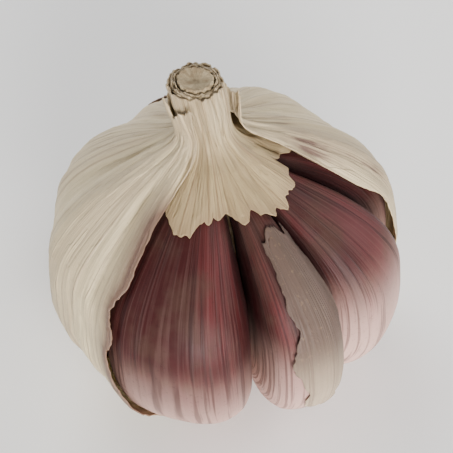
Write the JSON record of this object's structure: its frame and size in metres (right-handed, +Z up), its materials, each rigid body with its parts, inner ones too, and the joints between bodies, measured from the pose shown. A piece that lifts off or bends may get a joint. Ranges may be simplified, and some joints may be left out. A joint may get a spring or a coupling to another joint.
{
  "type": "garlic bulb",
  "caption": "Cured purple garlic bulb standing on its root plate, with separate cloves, torn papery wrappers and a cut neck.",
  "frame": {"origin": "middle of the root plate's flat resting face", "axes": "+Z up from the root plate to the neck, -Y towards the front, where the cloves are bare, +X to the right"},
  "size_m": [0.0527, 0.0544, 0.052],
  "materials": {
    "dry_stem": "dry, corky and fibrous",
    "clove_skin": "thin taut skin with a low sheen, dusty purple-brown with darker streaks along it",
    "wrapper_paper": "dry papery skin, off-white with faint veins along it",
    "neck_paper": "dry papery leaf bases, yellowish and wrinkled"
  },
  "bodies": {
    "root": {"stem": "dry_stem", "clove_1": "clove_skin", "clove_2": "clove_skin", "clove_3": "clove_skin", "clove_4": "clove_skin", "clove_5": "clove_skin", "clove_6": "clove_skin", "clove_7": "clove_skin", "clove_8": "clove_skin", "wrapper_left": "wrapper_paper", "wrapper_back": "wrapper_paper", "wrapper_strip": "wrapper_paper", "neck_sheath": "neck_paper"}
  },
  "joints": []
}
